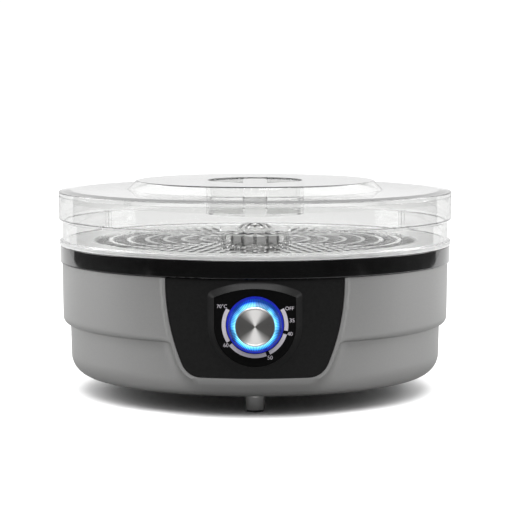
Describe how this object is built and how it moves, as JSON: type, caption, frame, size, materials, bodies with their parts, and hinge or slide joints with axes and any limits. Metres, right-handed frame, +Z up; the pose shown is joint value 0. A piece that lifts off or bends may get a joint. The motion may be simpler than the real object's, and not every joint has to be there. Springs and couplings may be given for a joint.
{
  "type": "food dehydrator",
  "caption": "Round table-top food dehydrator: fan-heater base with a lit temperature knob, a clear slotted tray and a clear lid with a finger cup.",
  "frame": {"origin": "on the table under the centre of the round base", "axes": "+Z up along the fan's axis, -Y towards the user, where the control panel is"},
  "size_m": [0.33, 0.3498, 0.1773],
  "materials": {
    "silver_plastic": "satin silver-grey paint on ABS",
    "dark_plastic": "black moulded plastic",
    "gloss_black": "polished black",
    "satin_black": "fine satin",
    "clear_plastic": "clear styrene",
    "lit_plastic": "clear ribbed plastic lit from behind",
    "blue_light": "blue light guide",
    "spun_aluminium": "spun face with a bright rim",
    "rubber": "matt",
    "steel": "zinc plated",
    "core_steel": "laminated steel",
    "coil_tape": "yellow winding tape",
    "bronze": "oil bronze",
    "mica": "pressed mica and ceramic",
    "board_green": "circuit board"
  },
  "bodies": {
    "base": {"lower_housing": "silver_plastic", "bottom_plate": "dark_plastic", "base_screws": "steel", "feet": "silver_plastic", "foot_pads": "rubber", "top_collar": "gloss_black", "air_deck": "dark_plastic", "deck_screws": "steel", "outlet_grille": "dark_plastic", "front_panel": "satin_black", "panel_screws": "steel", "dial_face": "gloss_black", "light_ring": "blue_light", "led_board": "board_green", "leds": "blue_light", "thermostat": "dark_plastic", "thermostat_nut": "steel", "motor_core": "core_steel", "motor_coil": "coil_tape", "motor_brackets": "steel", "motor_bearings": "bronze", "motor_screws": "steel", "fan_shroud": "dark_plastic", "shroud_screws": "steel", "heat_shield": "steel", "heater_frame": "mica", "heating_coil": "core_steel", "thermal_fuse": "steel", "cord_gland": "dark_plastic", "gland_nut": "dark_plastic", "terminal_block": "mica"},
    "knob": {"knob_skirt": "lit_plastic", "knob_cap": "spun_aluminium", "thermostat_shaft": "steel"},
    "fan_rotor": {"fan_impeller": "dark_plastic", "motor_shaft": "steel", "motor_rotor": "core_steel"},
    "tray": {"tray_rim": "clear_plastic", "tray_grid": "clear_plastic", "tray_hub": "clear_plastic"},
    "lid": {"lid": "clear_plastic"}
  },
  "joints": [
    {"name": "knob_turn", "type": "hinge", "parent": "base", "child": "knob", "pos_m": [0, -0.165, 0.0751], "axis": [0, -1, 0], "range_deg": [-219, 21]},
    {"name": "fan_spin", "type": "hinge", "parent": "base", "child": "fan_rotor", "pos_m": [0, 0, 0.05], "axis": [0, 0, 1], "continuous": true},
    {"name": "tray_lift", "type": "slide", "parent": "base", "child": "tray", "axis": [0, 0, 1], "range_m": [0, 0.06]},
    {"name": "lid_lift", "type": "slide", "parent": "tray", "child": "lid", "axis": [0, 0, 1], "range_m": [0, 0.08]}
  ]
}
